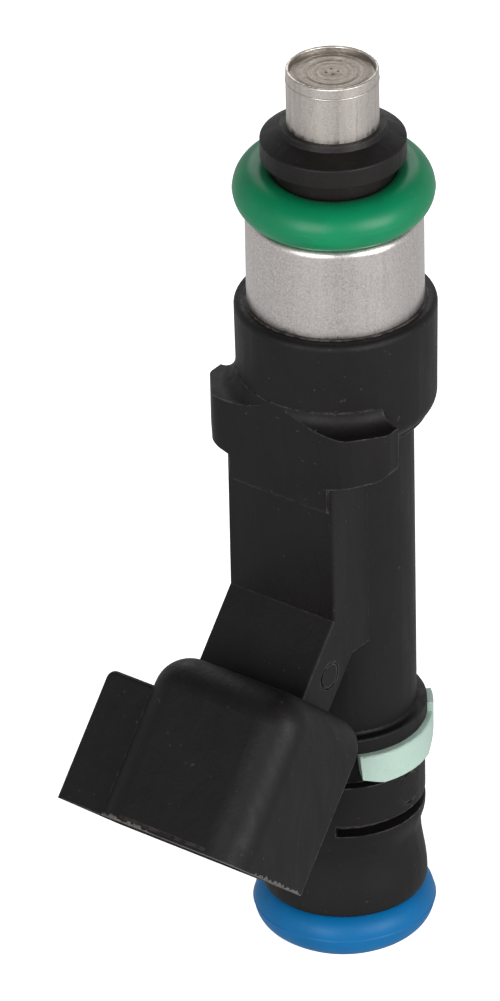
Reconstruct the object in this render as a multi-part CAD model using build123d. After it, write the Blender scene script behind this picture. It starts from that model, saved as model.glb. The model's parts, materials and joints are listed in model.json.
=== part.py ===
from build123d import *
from math import cos, radians, sin, sqrt
import os

# A long-body port fuel injector, standing on its fuel-inlet end with the nozzle up.
# Millimetres, +Z up. The origin is the centre of the inlet end face, on the valve's axis.
# The plug socket leans out towards -Y and down.

# ---- driving dimensions -------------------------------------------------------------------
SEAL_SPACING = 60.65            # between the centres of the two O-rings
RAIL_SEAL_Z = 2.6               # centre of the inlet O-ring
NOZZLE_SEAL_Z = RAIL_SEAL_Z + SEAL_SPACING
SEAL_SECTION_R = 1.765          # both O-rings have a 3.53 section
RAIL_SEAL_OD = 13.7
NOZZLE_SEAL_OD = 14.6

# Valve sleeve: one thin drawn tube from the inlet to the nozzle, as outer radii and a wall
SLEEVE_R = 3.80
SLEEVE_WALL = 0.35
INLET_NECK_R = 3.40
SPIGOT_R = 3.32
SPIGOT_WALL = 0.24
SPIGOT_RIM_ROUND = 0.1
INLET_FLARE_R = 4.55
INLET_FLARE_T = 0.55
NOZZLE_Z = 72.80
SPIGOT_Z = 68.3                 # where the sleeve has narrowed to the spigot
SEAT_STEP_R = 3.50              # step under the O-ring's retainer
SEAT_STEP_Z = 68.1
SHOULDER_Z = 66.0               # where it starts to narrow
SHOULDER_END_Z = 66.4
INLET_SHOULDER_Z = 4.75
TAPER_SHIFT = 0.15              # inside a taper the wall turns this much earlier
FLARE_ROUND = 0.2
BEAD_Z = 71.95                  # fine weld bead round the spigot
BEAD_SECTION_R = 0.08
BEAD_PROUD = 0.05

# Retainer of the nozzle O-ring
RETAINER_TOP_Z = 68.42
RETAINER_LIP_R = 3.77
RETAINER_LIP_H = 0.40
RETAINER_LIP_TAPER = 0.12
RETAINER_RIM_Z = 67.28
RETAINER_STEP_Z = 65.8
RETAINER_RIM_R = 5.25
RETAINER_TIER_R = 4.55
RETAINER_TIER_Z = 63.95          # its foot presses into the O-ring
RETAINER_ROUND = 0.12

# Magnet housing
HOUSING_R = 6.42
HOUSING_WALL = 0.75
HOUSING_Z0 = 47.7
HOUSING_Z1 = 61.36
HOUSING_LID = 0.95
HOUSING_ROUND = 0.55

# Overmoulded body
COLLAR_R = 7.35
COLLAR_Z0 = 45.1
COLLAR_FOOT_R = 7.24            # it tapers a little towards its foot
COLLAR_Z1 = 54.2
COLLAR_FOOT_ROUND = 1.5
COLLAR_TOP_ROUND = 0.5
FLASH_W = 0.2                   # ragged edge of plastic against the steel can
FLASH_H = 0.12
BODY_R = 5.55
FLANGE_R = 6.30
FLANGE_Z0 = 18.8
FLANGE_Z1 = 20.1
GROOVE_Z0 = 15.8
GROOVE_R = 5.35
BAND_R = 6.12
BAND_Z0 = 11.2
SKIRT_WAIST_R = 5.76
SKIRT_WAIST_Z = 9.35
SKIRT_R = 6.22
SKIRT_Z0 = 4.35
SKIRT_BULGE_Z = 5.0
SKIRT_ROUND = 0.4
FLANGE_ROUND = 0.15
FLANGE_FOOT_ROUND = 0.25

# Slot for the retaining clip, one arc on each side
CLIP_SLOT_Z0 = 11.55
CLIP_SLOT_H = 0.85
CLIP_SLOT_R = 5.0
CLIP_WEB_ANGLE = 31.0           # half angle of the solid web at the front and at the back

# Terminal lug under the collar, and the rib down to the neck
LUG_Z0 = 43.0
LUG_Z1 = 47.45
LUG_FACE_W = 5.8                # half widths of the flat face and of the whole lug
LUG_W = 7.9
LUG_SHOULDER_Y = -4.75
LUG_BACK_Y = -3.4
LUG_BLEND_R = 1.2               # hollow rounding between its top and the collar
LUG_FACE_R = 1.5                # rounding at the sides of its face, seen from above
LUG_CORNER_R = 1.0              # and at its shoulders
LUG_FOOT_W = 4.4                # from here its lower edge rises, seen from the front
LUG_FACE_Z = 43.45               # height of that edge beside the face
LUG_SIDE_Z = 43.75               # and at the lug's ends
LUG_FOOT_ROUND = 0.8
RIB_W = 4.7
RIB_Y = -7.15
RIB_Z0 = 28.1
TOE_W = 4.36                    # the lug's narrow toe reaches down onto the rib
TOE_Z = 40.9
TOE_SLOPE = 0.19                # all of its step beyond the rib is sloped
RIB_ROUND = 0.2
OVERLAP = 1.0                   # how far joined blocks run into each other

# Neck and plug socket, in the connector's own frame: x across, y up off the neck, z outward
CONNECTOR_TILT = 41.05          # between the socket's axis and straight down
NECK_START_Z = 31.84            # height where the neck's front face leaves the rib
NECK_T = 4.2
NECK_ROOT = -4.0                # it starts this far inside the rib
HOOD_X0 = -8.2
HOOD_X1 = 8.25
HOOD_Y0 = -NECK_T
HOOD_Y1 = 6.6
HOOD_BACK = 6.1
HOOD_MOUTH = 19.2
HOOD_WALL = 1.1
HOOD_ROUND = 2.7
HOOD_HEEL_ROUND = 1.0
STEP_X = -4.6                   # the lower side box lies outside this
STEP_Y = 5.5
STEP_BACK = 9.1
STEP_ROUND = 0.35
STEP_END_ROUND = 0.7
MOUTH_LINE = 0.1                # mould line along the top of the mouth
MOUTH_LINE_DROP = 0.42
SOCKET_FLOOR = 8.6
SIDE_FLOOR = 10.3
SOCKET_ROUND = 1.6
SIDE_SOCKET_ROUND = 0.5
KEY_H = 0.6                     # key ribs on the socket's side walls
KEY_Y = 0.9
KEY_W = 1.2
KEY_SET_BACK = 1.5
CATCH_W = 4.6
CATCH_H = 1.0
CATCH_LIP = 0.6
CATCH_L = 2.8
CATCH_SET_BACK = 3.9            # from the socket's mouth to the catch's steep face

# Colour ring in the groove
RING_R = 6.77
RING_Z0 = 16.32
RING_BACK_Z0 = 17.7             # its lower edge is higher at the back
RING_RISE_ANGLE = 106.0         # the rise starts here and ends at RING_BACK_ANGLE
RING_BACK_ANGLE = 127.0
RING_TAB_Z = 19.6              # a tab on each side laps up over the flange
RING_TAB_ANGLE = 131.5
RING_TAB_HALF_ANGLE = 8.5
RING_END_ANGLE = 47.4           # half angle of its opening, towards the connector
RING_HEEL_ANGLE = 48.9
RING_TOE_ANGLE = 63.0
RING_TOE_H = 0.55
RING_ROUND = 0.2

# Magnet, valve and springs
POLE_GAP = 0.10                 # leaves 0.02 when the valve is fully open
POLE_Z = 54.5
CORE_Z0 = 30.0
CORE_BORE_R = 1.80
CORE_CHAMFER = 0.25
ARMATURE_R = 3.36
ARMATURE_Z1 = 60.1
ARMATURE_CHAMFER = 0.6
SPRING_POCKET_Z = 57.1
NEEDLE_Z0 = 57.7
NEEDLE_R = 1.25
NEEDLE_BORE_R = 0.95
CROSS_HOLE_R = 0.45              # let the fuel out of the needle above the ball
CROSS_HOLE_DROP = 2.2
BALL_R = 1.60
SEAT_CONE_TIP_Z = 72.4
SEAT_CLEARANCE = 0.015
SEAT_OUTLET_R = 0.95
SEAT_GUIDE_GAP = 0.02
SEAT_CHANNEL_R = 0.42
SEAT_CHANNEL_OFFSET = 0.15
SEAT_Z0 = 68.8
SEAT_Z1 = 72.2
ORIFICE_T = 0.25
ORIFICE_HOLE_R = 0.16
ORIFICE_RING_R = 0.62
SPRAYS = 4
SPRAY_TILT = 8
ADJUSTER_Z0 = 39.5
ADJUSTER_Z1 = 48.5
ADJUSTER_BORE_R = 1.30
ADJUSTER_SLOT = 0.6
SPRING_WIRE_R = 0.20
SPRING_MEAN_R = 1.40
SPRING_TURNS = 9

# Coil
BOBBIN_Z0 = 48.85
BOBBIN_Z1 = 60.3
BOBBIN_FLANGE_T = 0.75
BOBBIN_HUB_R = 4.40
BOBBIN_R = 5.62
COIL_R = 5.36
COIL_WIRE_PITCH = 0.36
COIL_VALLEY = 0.1
CARRIER_W = 3.0
CARRIER_Z0 = 45.5

# Terminals
TERMINAL_X = 2.5
BLADE_W = 2.8
BLADE_T = 0.8
TERMINAL_Y = -4.7
TERMINAL_BEND_R = 1.6
BLADE_CHAMFER = 0.25
TAB_W = 1.0
TAB_X = 1.7
TAB_Z0 = 46.8
TAB_Z1 = 48.5
BLADE_LEVEL = -1.0              # height of the blades in the connector's frame
BLADE_TIP = 13.8
LEAD_R = 0.15

# Inlet filter
FILTER_RING_R = INLET_NECK_R - SLEEVE_WALL
FILTER_RING_Z0 = 1.0
FILTER_RING_Z1 = 4.2
FILTER_FRAME_R = 2.70
FILTER_MESH_R = 2.00
FILTER_TOP_Z = 13.0
FILTER_RING_CHAMFER = 0.15
FILTER_RIB_T = 0.4
FILTER_RIB_W = 0.7
FILTER_RIBS = 4
FILTER_CAP_T = 0.8
FILTER_COLLAR_LIP = 0.3
MESH_T = 0.15
MESH_LAP = 0.5

# Round marks left by the mould's ejector pins
MARK_DEPTH = 0.12
MARK_LINE = 0.18
NECK_MARK_R = 1.1
NECK_MARK_Y = -2.3
NECK_MARK_Z = 3.65
BAND_MARK_R = 1.4
BAND_MARK_DROP = 1.5            # below the band's top

SEAL_SLACK = 0.02
FIT = 0.01                      # running gap between pressed or slipped pieces


# ---- helpers --------------------------------------------------------------------------------
def tube(r_out, r_in, z0, z1):
    """Plain ring or tube on the valve's axis."""
    ring = Cylinder(r_out, z1 - z0, align=(Align.CENTER, Align.CENTER, Align.MIN))
    if r_in > 0:
        ring -= Cylinder(r_in, z1 - z0, align=(Align.CENTER, Align.CENTER, Align.MIN))
    return Pos(0, 0, z0) * ring


def block(x0, x1, y0, y1, z0, z1):
    """Box between two corners."""
    return Pos(x0, y0, z0) * Box(x1 - x0, y1 - y0, z1 - z0, align=(Align.MIN,) * 3)


def turned(points):
    """Solid of revolution from a closed outline of (radius, height) points."""
    outline = Plane.XZ * make_face(Polyline(*points, close=True))
    return revolve(outline, Axis.Z)


def wedge(half_angle, centre_angle, radius, z0, z1):
    """Sector of a cylinder, for cutting arcs; angles in degrees from +X."""
    steps = 6
    start = centre_angle - half_angle
    turn = 2 * half_angle / steps
    corners = [(0, 0)]
    for step in range(steps + 1):
        angle = radians(start + step * turn)
        corners.append((radius * cos(angle), radius * sin(angle)))
    face = make_face(Polyline(*corners, close=True))
    return Pos(0, 0, z0) * extrude(face, z1 - z0)


def circles(shape, radius, z0, z1):
    """Circular edges round the valve's axis, by radius and height."""
    return [e for e in shape.edges().filter_by(GeomType.CIRCLE)
            if abs(e.radius - radius) < 1e-3 and z0 - 1e-3 < e.center().Z < z1 + 1e-3]


def edges_at(shape, **place):
    """Edges whose middle has the given X, Y or Z."""
    return [e for e in shape.edges()
            if all(abs(getattr(e.center(), axis) - value) < 1e-3 for axis, value in place.items())]


def one(shape):
    """The single solid of a shape."""
    solids = shape.solids()
    if len(solids) != 1:
        raise ValueError(f"expected one solid, found {len(solids)}")
    return solids[0]


# ---- connector frame ------------------------------------------------------------------------
tilt = radians(CONNECTOR_TILT)
connector = Plane(
    origin=(0, RIB_Y, NECK_START_Z),
    x_dir=(1, 0, 0),
    z_dir=(0, -sin(tilt), -cos(tilt)),
)


def in_connector(shape):
    """Move a shape from the connector's frame into the injector's."""
    return connector.location * shape


# ---- stainless sleeve and nozzle --------------------------------------------------------------
def make_valve_sleeve():
    inlet_bore = INLET_NECK_R - SLEEVE_WALL
    bore = SLEEVE_R - SLEEVE_WALL
    spigot_bore = SPIGOT_R - SPIGOT_WALL
    narrowing = SLEEVE_R - INLET_NECK_R
    sleeve = turned([
        (inlet_bore, 0),
        (INLET_FLARE_R, 0),
        (INLET_FLARE_R, INLET_FLARE_T),
        (INLET_NECK_R, INLET_FLARE_T),
        (INLET_NECK_R, INLET_SHOULDER_Z - narrowing),
        (SLEEVE_R, INLET_SHOULDER_Z),
        (SLEEVE_R, SHOULDER_Z),
        (SEAT_STEP_R, SHOULDER_END_Z),
        (SEAT_STEP_R, SEAT_STEP_Z),
        (SPIGOT_R, SPIGOT_Z),
        (SPIGOT_R, NOZZLE_Z),
        (spigot_bore, NOZZLE_Z),
        (spigot_bore, SHOULDER_END_Z),
        (bore, SHOULDER_Z - TAPER_SHIFT),
        (bore, INLET_SHOULDER_Z + TAPER_SHIFT),
        (inlet_bore, INLET_SHOULDER_Z + TAPER_SHIFT - narrowing),
    ])
    bead = Pos(0, 0, BEAD_Z) * Torus(SPIGOT_R - BEAD_SECTION_R + BEAD_PROUD, BEAD_SECTION_R)
    sleeve = one(sleeve + bead)
    rim = sleeve.edges().filter_by(GeomType.CIRCLE).group_by(Axis.Z)[-1]
    sleeve = fillet(rim, SPIGOT_RIM_ROUND)
    return one(fillet(circles(sleeve, INLET_FLARE_R, 0, INLET_FLARE_T), FLARE_ROUND))


def make_orifice_plate():
    radius = SPIGOT_R - SPIGOT_WALL - FIT
    plate = tube(radius, 0, SEAT_Z1, SEAT_Z1 + ORIFICE_T)
    for spray in range(SPRAYS):
        hole = Rot(0, 0, 45 + 360 / SPRAYS * spray) * Pos(ORIFICE_RING_R, 0, SEAT_Z1 + ORIFICE_T / 2)
        plate -= hole * Rot(0, SPRAY_TILT, 0) * Cylinder(ORIFICE_HOLE_R, 3 * ORIFICE_T)
    return one(plate)


def make_valve_seat():
    guide_r = BALL_R + SEAT_GUIDE_GAP
    radius = SPIGOT_R - SPIGOT_WALL - FIT
    seat = turned([
        (guide_r, SEAT_Z0),
        (radius, SEAT_Z0),
        (radius, SEAT_Z1),
        (SEAT_OUTLET_R, SEAT_Z1),
        (SEAT_OUTLET_R, SEAT_CONE_TIP_Z - SEAT_OUTLET_R),
        (guide_r, SEAT_CONE_TIP_Z - guide_r),
    ])
    channel_h = SEAT_CONE_TIP_Z - guide_r - SEAL_SLACK - SEAT_Z0
    channel = Cylinder(SEAT_CHANNEL_R, channel_h, align=(Align.CENTER, Align.CENTER, Align.MIN))
    for quarter in range(4):
        seat -= Rot(0, 0, 90 * quarter) * Pos(guide_r + SEAT_CHANNEL_OFFSET, 0, SEAT_Z0) * channel
    return one(seat)


def make_o_ring(outer_d, z, gland_r):
    """O-ring stretched on its gland, where it lies flat."""
    ring = Pos(0, 0, z) * Torus(outer_d / 2 - SEAL_SECTION_R, SEAL_SECTION_R)
    gland = tube(gland_r, 0, z - 2 * SEAL_SECTION_R, z + 2 * SEAL_SECTION_R)
    return one(ring - gland)


def make_nozzle_o_ring():
    """The O-ring at the nozzle, pressed in by the foot of its retainer."""
    ring = make_o_ring(NOZZLE_SEAL_OD, NOZZLE_SEAL_Z, SLEEVE_R)
    foot_z = RETAINER_TIER_Z - SEAL_SLACK
    return one(ring - tube(RETAINER_TIER_R + SEAL_SLACK, 0, foot_z, NOZZLE_SEAL_Z + 2 * SEAL_SECTION_R))


def make_o_ring_retainer():
    grip_r = SPIGOT_R + FIT
    step_r = SEAT_STEP_R + FIT
    retainer = turned([
        (SLEEVE_R + FIT, RETAINER_TIER_Z),
        (RETAINER_TIER_R, RETAINER_TIER_Z),
        (RETAINER_TIER_R, RETAINER_STEP_Z),
        (RETAINER_RIM_R, RETAINER_STEP_Z),
        (RETAINER_RIM_R, RETAINER_RIM_Z),
        (RETAINER_LIP_R + RETAINER_LIP_TAPER, RETAINER_TOP_Z - RETAINER_LIP_H),
        (RETAINER_LIP_R, RETAINER_TOP_Z),
        (grip_r, RETAINER_TOP_Z),
        (grip_r, SPIGOT_Z + FIT),
        (step_r, SEAT_STEP_Z + FIT),
        (step_r, SHOULDER_END_Z),
        (SLEEVE_R + FIT, SHOULDER_Z),
    ])
    rim = circles(retainer, RETAINER_RIM_R, RETAINER_STEP_Z, RETAINER_RIM_Z)
    return one(fillet(rim, RETAINER_ROUND))


# ---- magnet ---------------------------------------------------------------------------------
def make_magnet_housing():
    inner_r = HOUSING_R - HOUSING_WALL
    housing = tube(HOUSING_R, inner_r, HOUSING_Z0, HOUSING_Z1 - HOUSING_LID)
    housing += tube(HOUSING_R, SLEEVE_R + FIT, HOUSING_Z1 - HOUSING_LID, HOUSING_Z1)
    return one(fillet(circles(housing, HOUSING_R, HOUSING_Z1, HOUSING_Z1), HOUSING_ROUND))


def make_flux_washer():
    washer = tube(HOUSING_R - HOUSING_WALL - FIT, SLEEVE_R + FIT, HOUSING_Z0, BOBBIN_Z0)
    return one(washer - block(-CARRIER_W, CARRIER_W, -HOUSING_R, 0, HOUSING_Z0, BOBBIN_Z0))


def make_carrier():
    """Block on the bobbin that reaches down through the washer's notch and holds the tabs."""
    face_y = -(HOUSING_R - HOUSING_WALL - 2 * FIT)
    carrier = block(-CARRIER_W, CARRIER_W, face_y, -SLEEVE_R, CARRIER_Z0, BOBBIN_Z0)
    return carrier & tube(-face_y, 0, CARRIER_Z0, BOBBIN_Z0)


def make_coil_bobbin():
    bobbin = tube(BOBBIN_HUB_R, SLEEVE_R + FIT, BOBBIN_Z0, BOBBIN_Z1)
    bobbin += tube(BOBBIN_R, SLEEVE_R + FIT, BOBBIN_Z0, BOBBIN_Z0 + BOBBIN_FLANGE_T)
    bobbin += tube(BOBBIN_R, SLEEVE_R + FIT, BOBBIN_Z1 - BOBBIN_FLANGE_T, BOBBIN_Z1)
    bobbin += make_carrier() - tube(SLEEVE_R + FIT, 0, CARRIER_Z0, BOBBIN_Z0)
    for side in (-1, 1):
        bobbin -= make_terminal(side)
        bobbin -= make_lead(side)
    return one(bobbin)


def make_coil_winding():
    z0 = BOBBIN_Z0 + BOBBIN_FLANGE_T
    height = BOBBIN_Z1 - BOBBIN_FLANGE_T - z0
    turns = int(height / COIL_WIRE_PITCH)
    pitch = height / turns
    valley_r = COIL_R - COIL_VALLEY
    outline = [Line((BOBBIN_HUB_R, z0), (valley_r, z0))]
    for turn in range(turns):
        low = z0 + turn * pitch
        outline.append(ThreePointArc((valley_r, low), (COIL_R, low + pitch / 2), (valley_r, low + pitch)))
    outline.append(Line((valley_r, z0 + height), (BOBBIN_HUB_R, z0 + height)))
    outline.append(Line((BOBBIN_HUB_R, z0 + height), (BOBBIN_HUB_R, z0)))
    return one(revolve(Plane.XZ * make_face(outline), Axis.Z))


def make_lead(side):
    """End of the winding's wire, down through the bobbin's flange to a tab."""
    length = BOBBIN_Z0 + BOBBIN_FLANGE_T - TAB_Z1
    lead = Cylinder(LEAD_R, length, align=(Align.CENTER, Align.CENTER, Align.MIN))
    return Pos(side * TAB_X, TERMINAL_Y, TAB_Z1) * lead


def make_stationary_core():
    radius = SLEEVE_R - SLEEVE_WALL - FIT
    core = tube(radius, CORE_BORE_R, CORE_Z0, POLE_Z)
    return one(chamfer(circles(core, radius, CORE_Z0, CORE_Z0), CORE_CHAMFER))


def make_adjusting_sleeve():
    sleeve = tube(CORE_BORE_R - FIT, ADJUSTER_BORE_R, ADJUSTER_Z0, ADJUSTER_Z1)
    slot = block(0, CORE_BORE_R, -ADJUSTER_SLOT / 2, ADJUSTER_SLOT / 2, ADJUSTER_Z0, ADJUSTER_Z1)
    return one(sleeve - slot)


# ---- needle ---------------------------------------------------------------------------------
ball_z = SEAT_CONE_TIP_Z - (BALL_R + SEAT_CLEARANCE) * sqrt(2)


def make_valve_ball():
    return one(Pos(0, 0, ball_z) * Sphere(BALL_R))


def make_needle_tube():
    tube_top = ball_z - sqrt(BALL_R**2 - NEEDLE_R**2)
    needle = tube(NEEDLE_R, NEEDLE_BORE_R, NEEDLE_Z0, tube_top) - Pos(0, 0, ball_z) * Sphere(BALL_R)
    hole = Rot(90, 0, 0) * Cylinder(CROSS_HOLE_R, 4 * NEEDLE_R)
    for turn in (0, 90):
        needle -= Pos(0, 0, tube_top - CROSS_HOLE_DROP) * Rot(0, 0, turn) * hole
    return one(needle)


def make_armature():
    armature = turned([
        (CORE_BORE_R, POLE_Z + POLE_GAP),
        (ARMATURE_R, POLE_Z + POLE_GAP),
        (ARMATURE_R, ARMATURE_Z1 - ARMATURE_CHAMFER),
        (ARMATURE_R - ARMATURE_CHAMFER, ARMATURE_Z1),
        (NEEDLE_R, ARMATURE_Z1),
        (NEEDLE_R, NEEDLE_Z0),
        (NEEDLE_BORE_R, NEEDLE_Z0),
        (NEEDLE_BORE_R, SPRING_POCKET_Z),
        (CORE_BORE_R, SPRING_POCKET_Z),
    ])
    return one(armature)


def make_closing_spring():
    z0 = ADJUSTER_Z1 + SPRING_WIRE_R
    height = SPRING_POCKET_Z - SPRING_WIRE_R - z0
    path = Helix(height / SPRING_TURNS, height, SPRING_MEAN_R, center=(0, 0, z0))
    section = Plane(origin=path @ 0, z_dir=path % 0) * Circle(SPRING_WIRE_R)
    return one(sweep(section, path=path))


# ---- terminals ------------------------------------------------------------------------------
def make_terminal(side):
    """Stamped strip: tab in the bobbin, straight run in the rib, bend, blade in the socket."""
    axis = connector.z_dir
    root = (connector.location * Pos(0, BLADE_LEVEL, 0)).position
    corner = root + axis * ((TERMINAL_Y - root.Y) / axis.Y)
    top = Vector(0, TERMINAL_Y, TAB_Z0)
    path = FilletPolyline(top, corner, root + axis * BLADE_TIP, radius=TERMINAL_BEND_R)
    section = Plane(origin=top, x_dir=(1, 0, 0), z_dir=(0, 0, -1)) * Rectangle(BLADE_W, BLADE_T)
    strip = one(sweep(section, path=path))
    strip = chamfer(strip.faces().sort_by(Axis(root, axis))[-1].edges(), BLADE_CHAMFER)
    half_t = BLADE_T / 2
    tab = block(-TAB_W / 2, TAB_W / 2, TERMINAL_Y - half_t, TERMINAL_Y + half_t, TAB_Z0, TAB_Z1)
    return one(Pos(side * TERMINAL_X, 0, 0) * strip + Pos(side * TAB_X, 0, 0) * tab)


# ---- overmoulded body -----------------------------------------------------------------------
def make_barrel():
    """Round part of the body: collar, cylinder, flange, groove, band and skirt."""
    foot = (SKIRT_R - SKIRT_ROUND, SKIRT_Z0)
    outline = [
        Line((0, SKIRT_Z0), foot),
        Spline(foot, (SKIRT_R, SKIRT_BULGE_Z), tangents=[(1, 0), (0, 1)]),
        Spline((SKIRT_R, SKIRT_BULGE_Z), (SKIRT_WAIST_R, SKIRT_WAIST_Z), tangents=[(0, 1), (0, 1)]),
        Spline((SKIRT_WAIST_R, SKIRT_WAIST_Z), (BAND_R, BAND_Z0), tangents=[(0, 1), (0, 1)]),
        Polyline(
            (BAND_R, BAND_Z0),
            (BAND_R, GROOVE_Z0),
            (GROOVE_R, GROOVE_Z0),
            (GROOVE_R, FLANGE_Z0),
            (FLANGE_R, FLANGE_Z0),
            (FLANGE_R, FLANGE_Z1),
            (BODY_R, FLANGE_Z1),
            (BODY_R, LUG_Z1),
            (0, LUG_Z1),
            (0, SKIRT_Z0),
        ),
    ]
    barrel = one(revolve(Plane.XZ * make_face(outline), Axis.Z))
    barrel = fillet(circles(barrel, FLANGE_R, FLANGE_Z0, FLANGE_Z1), FLANGE_ROUND)
    barrel = fillet(circles(barrel, BODY_R, FLANGE_Z1, FLANGE_Z1), FLANGE_FOOT_ROUND)
    collar = turned([(0, COLLAR_Z0), (COLLAR_FOOT_R, COLLAR_Z0), (COLLAR_R, COLLAR_Z1), (0, COLLAR_Z1)])
    collar = fillet(circles(collar, COLLAR_FOOT_R, COLLAR_Z0, COLLAR_Z0), COLLAR_FOOT_ROUND)
    collar = fillet(circles(collar, COLLAR_R, COLLAR_Z1, COLLAR_Z1), COLLAR_TOP_ROUND)
    flash = tube(HOUSING_R + FLASH_W, 0, COLLAR_Z0, COLLAR_Z1 + FLASH_H)
    return one(barrel + collar + flash)


def make_lug_front(top):
    """The lug's outline seen from the front, with rising, rounded lower edges."""
    half = [(0, LUG_Z0), (LUG_FOOT_W, LUG_Z0), (LUG_FACE_W, LUG_FACE_Z), (LUG_W, LUG_SIDE_Z), (LUG_W, top)]
    left = [(-x, z) for x, z in reversed(half[1:])]
    outline = make_face(Polyline(*left, *half[1:], close=True))
    corners = [v for v in outline.vertices() if LUG_Z0 + 1e-3 < v.Y < top - 1e-3]
    outline = fillet(corners, LUG_FOOT_ROUND)
    return Pos(0, LUG_BACK_Y, 0) * extrude(Plane.XZ * outline, COLLAR_R + LUG_BACK_Y)


def make_lug():
    """Flat-faced lug that holds the tops of the terminals, tangent to the collar."""
    half = make_face(Polyline(
        (0, -COLLAR_R),
        (LUG_FACE_W, -COLLAR_R),
        (LUG_W, LUG_SHOULDER_Y),
        (LUG_W, LUG_BACK_Y),
        (0, LUG_BACK_Y),
        close=True,
    ))
    plan = half + mirror(half, Plane.YZ)
    top = LUG_Z1 + LUG_BLEND_R
    lug = one(Pos(0, 0, LUG_Z0) * extrude(plan, top - LUG_Z0))
    upright = lug.edges().filter_by(Axis.Z)
    face_sides = [e for e in upright if abs(abs(e.center().X) - LUG_FACE_W) < 1e-3]
    lug = fillet(face_sides, LUG_FACE_R)
    shoulders = [e for e in lug.edges().filter_by(Axis.Z) if abs(e.center().Y - LUG_SHOULDER_Y) < 1e-3]
    lug = fillet(shoulders, LUG_CORNER_R)
    blend_r = COLLAR_R + LUG_BLEND_R
    blend = RadiusArc((blend_r, LUG_Z1), (COLLAR_R, top), LUG_BLEND_R)
    outer_r = blend_r + OVERLAP
    rest = Polyline(
        (COLLAR_R, top),
        (0, top),
        (0, LUG_Z0),
        (outer_r, LUG_Z0),
        (outer_r, LUG_Z1),
        (blend_r, LUG_Z1),
    )
    lug = lug & revolve(Plane.XZ * make_face([blend, rest]), Axis.Z)
    lug = lug & make_lug_front(top)
    toe = block(-TOE_W, TOE_W, -COLLAR_R, LUG_BACK_Y, TOE_Z, LUG_Z0 + OVERLAP)
    toe_edge = [e for e in toe.edges().filter_by(Axis.X)
                if abs(e.center().Z - TOE_Z) < 1e-3 and e.center().Y < RIB_Y]
    return one(lug + chamfer(toe_edge, TOE_SLOPE))


def make_rib():
    """Flat rib down the front of the body, which the terminals run in."""
    rib = block(-RIB_W, RIB_W, RIB_Y, 0, RIB_Z0, LUG_Z0 + OVERLAP)
    corners = [e for e in rib.edges().filter_by(Axis.Z) if e.center().Y < RIB_Y + 1e-3]
    return one(fillet(corners, RIB_ROUND))


def make_mark(radius):
    """Fine round line, to be cut into a wall."""
    return Cylinder(radius, 2 * MARK_DEPTH) - Cylinder(radius - MARK_LINE, 2 * MARK_DEPTH)


def make_neck():
    """Slanted slab that carries the socket, with a round ejector mark on each side."""
    neck = block(-RIB_W, RIB_W, -NECK_T, 0, NECK_ROOT, HOOD_BACK + OVERLAP)
    neck = fillet(neck.edges().filter_by(Axis.Z), RIB_ROUND)
    for side in (-1, 1):
        neck -= Pos(side * RIB_W, NECK_MARK_Y, NECK_MARK_Z) * Rot(0, 90, 0) * make_mark(NECK_MARK_R)
    return one(neck)


def make_catch():
    """Wedge under the socket that the plug's latch snaps over."""
    heel = HOOD_MOUTH - CATCH_SET_BACK
    profile = make_face(Polyline(
        (HOOD_Y0 + OVERLAP / 2, heel),
        (HOOD_Y0 - CATCH_H, heel),
        (HOOD_Y0 - CATCH_H, heel + CATCH_LIP),
        (HOOD_Y0, heel + CATCH_L),
        (HOOD_Y0 + OVERLAP / 2, heel + CATCH_L),
        close=True,
    ))
    return Pos(-CATCH_W / 2, 0, 0) * extrude(Plane.YZ * profile, CATCH_W)


def make_hood():
    """Outer shape of the socket: a rounded bulge, a lower box beside it, and the plug's catch."""
    bulge = block(STEP_X, HOOD_X1, HOOD_Y0, HOOD_Y1, HOOD_BACK, HOOD_MOUTH)
    heel = fillet(edges_at(bulge, Y=HOOD_Y0, Z=HOOD_BACK), HOOD_HEEL_ROUND)
    rounded = (
        edges_at(bulge, X=HOOD_X1, Y=HOOD_Y1)
        + edges_at(bulge, X=HOOD_X1, Z=HOOD_BACK)
        + edges_at(bulge, X=STEP_X, Y=HOOD_Y1)
        + edges_at(bulge, X=STEP_X, Z=HOOD_BACK)
        + edges_at(bulge, Y=HOOD_Y1, Z=HOOD_BACK)
    )
    bulge = fillet(rounded, HOOD_ROUND) & heel
    side_box = block(HOOD_X0, STEP_X + HOOD_ROUND, HOOD_Y0, STEP_Y, STEP_BACK, HOOD_MOUTH)
    side_box = fillet(edges_at(side_box, X=HOOD_X0, Z=STEP_BACK), STEP_END_ROUND)
    middle = (STEP_BACK + STEP_END_ROUND + HOOD_MOUTH) / 2
    side_box = fillet(edges_at(side_box, X=HOOD_X0, Z=middle), STEP_ROUND)
    hood = bulge + side_box + make_catch()
    line_z = HOOD_MOUTH - MOUTH_LINE_DROP
    line_x0, line_x1 = STEP_X + HOOD_ROUND, HOOD_X1 - HOOD_ROUND
    hood -= block(line_x0, line_x1, HOOD_Y1 - MOUTH_LINE, HOOD_Y1, line_z, line_z + MOUTH_LINE)
    return one(hood)


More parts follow.
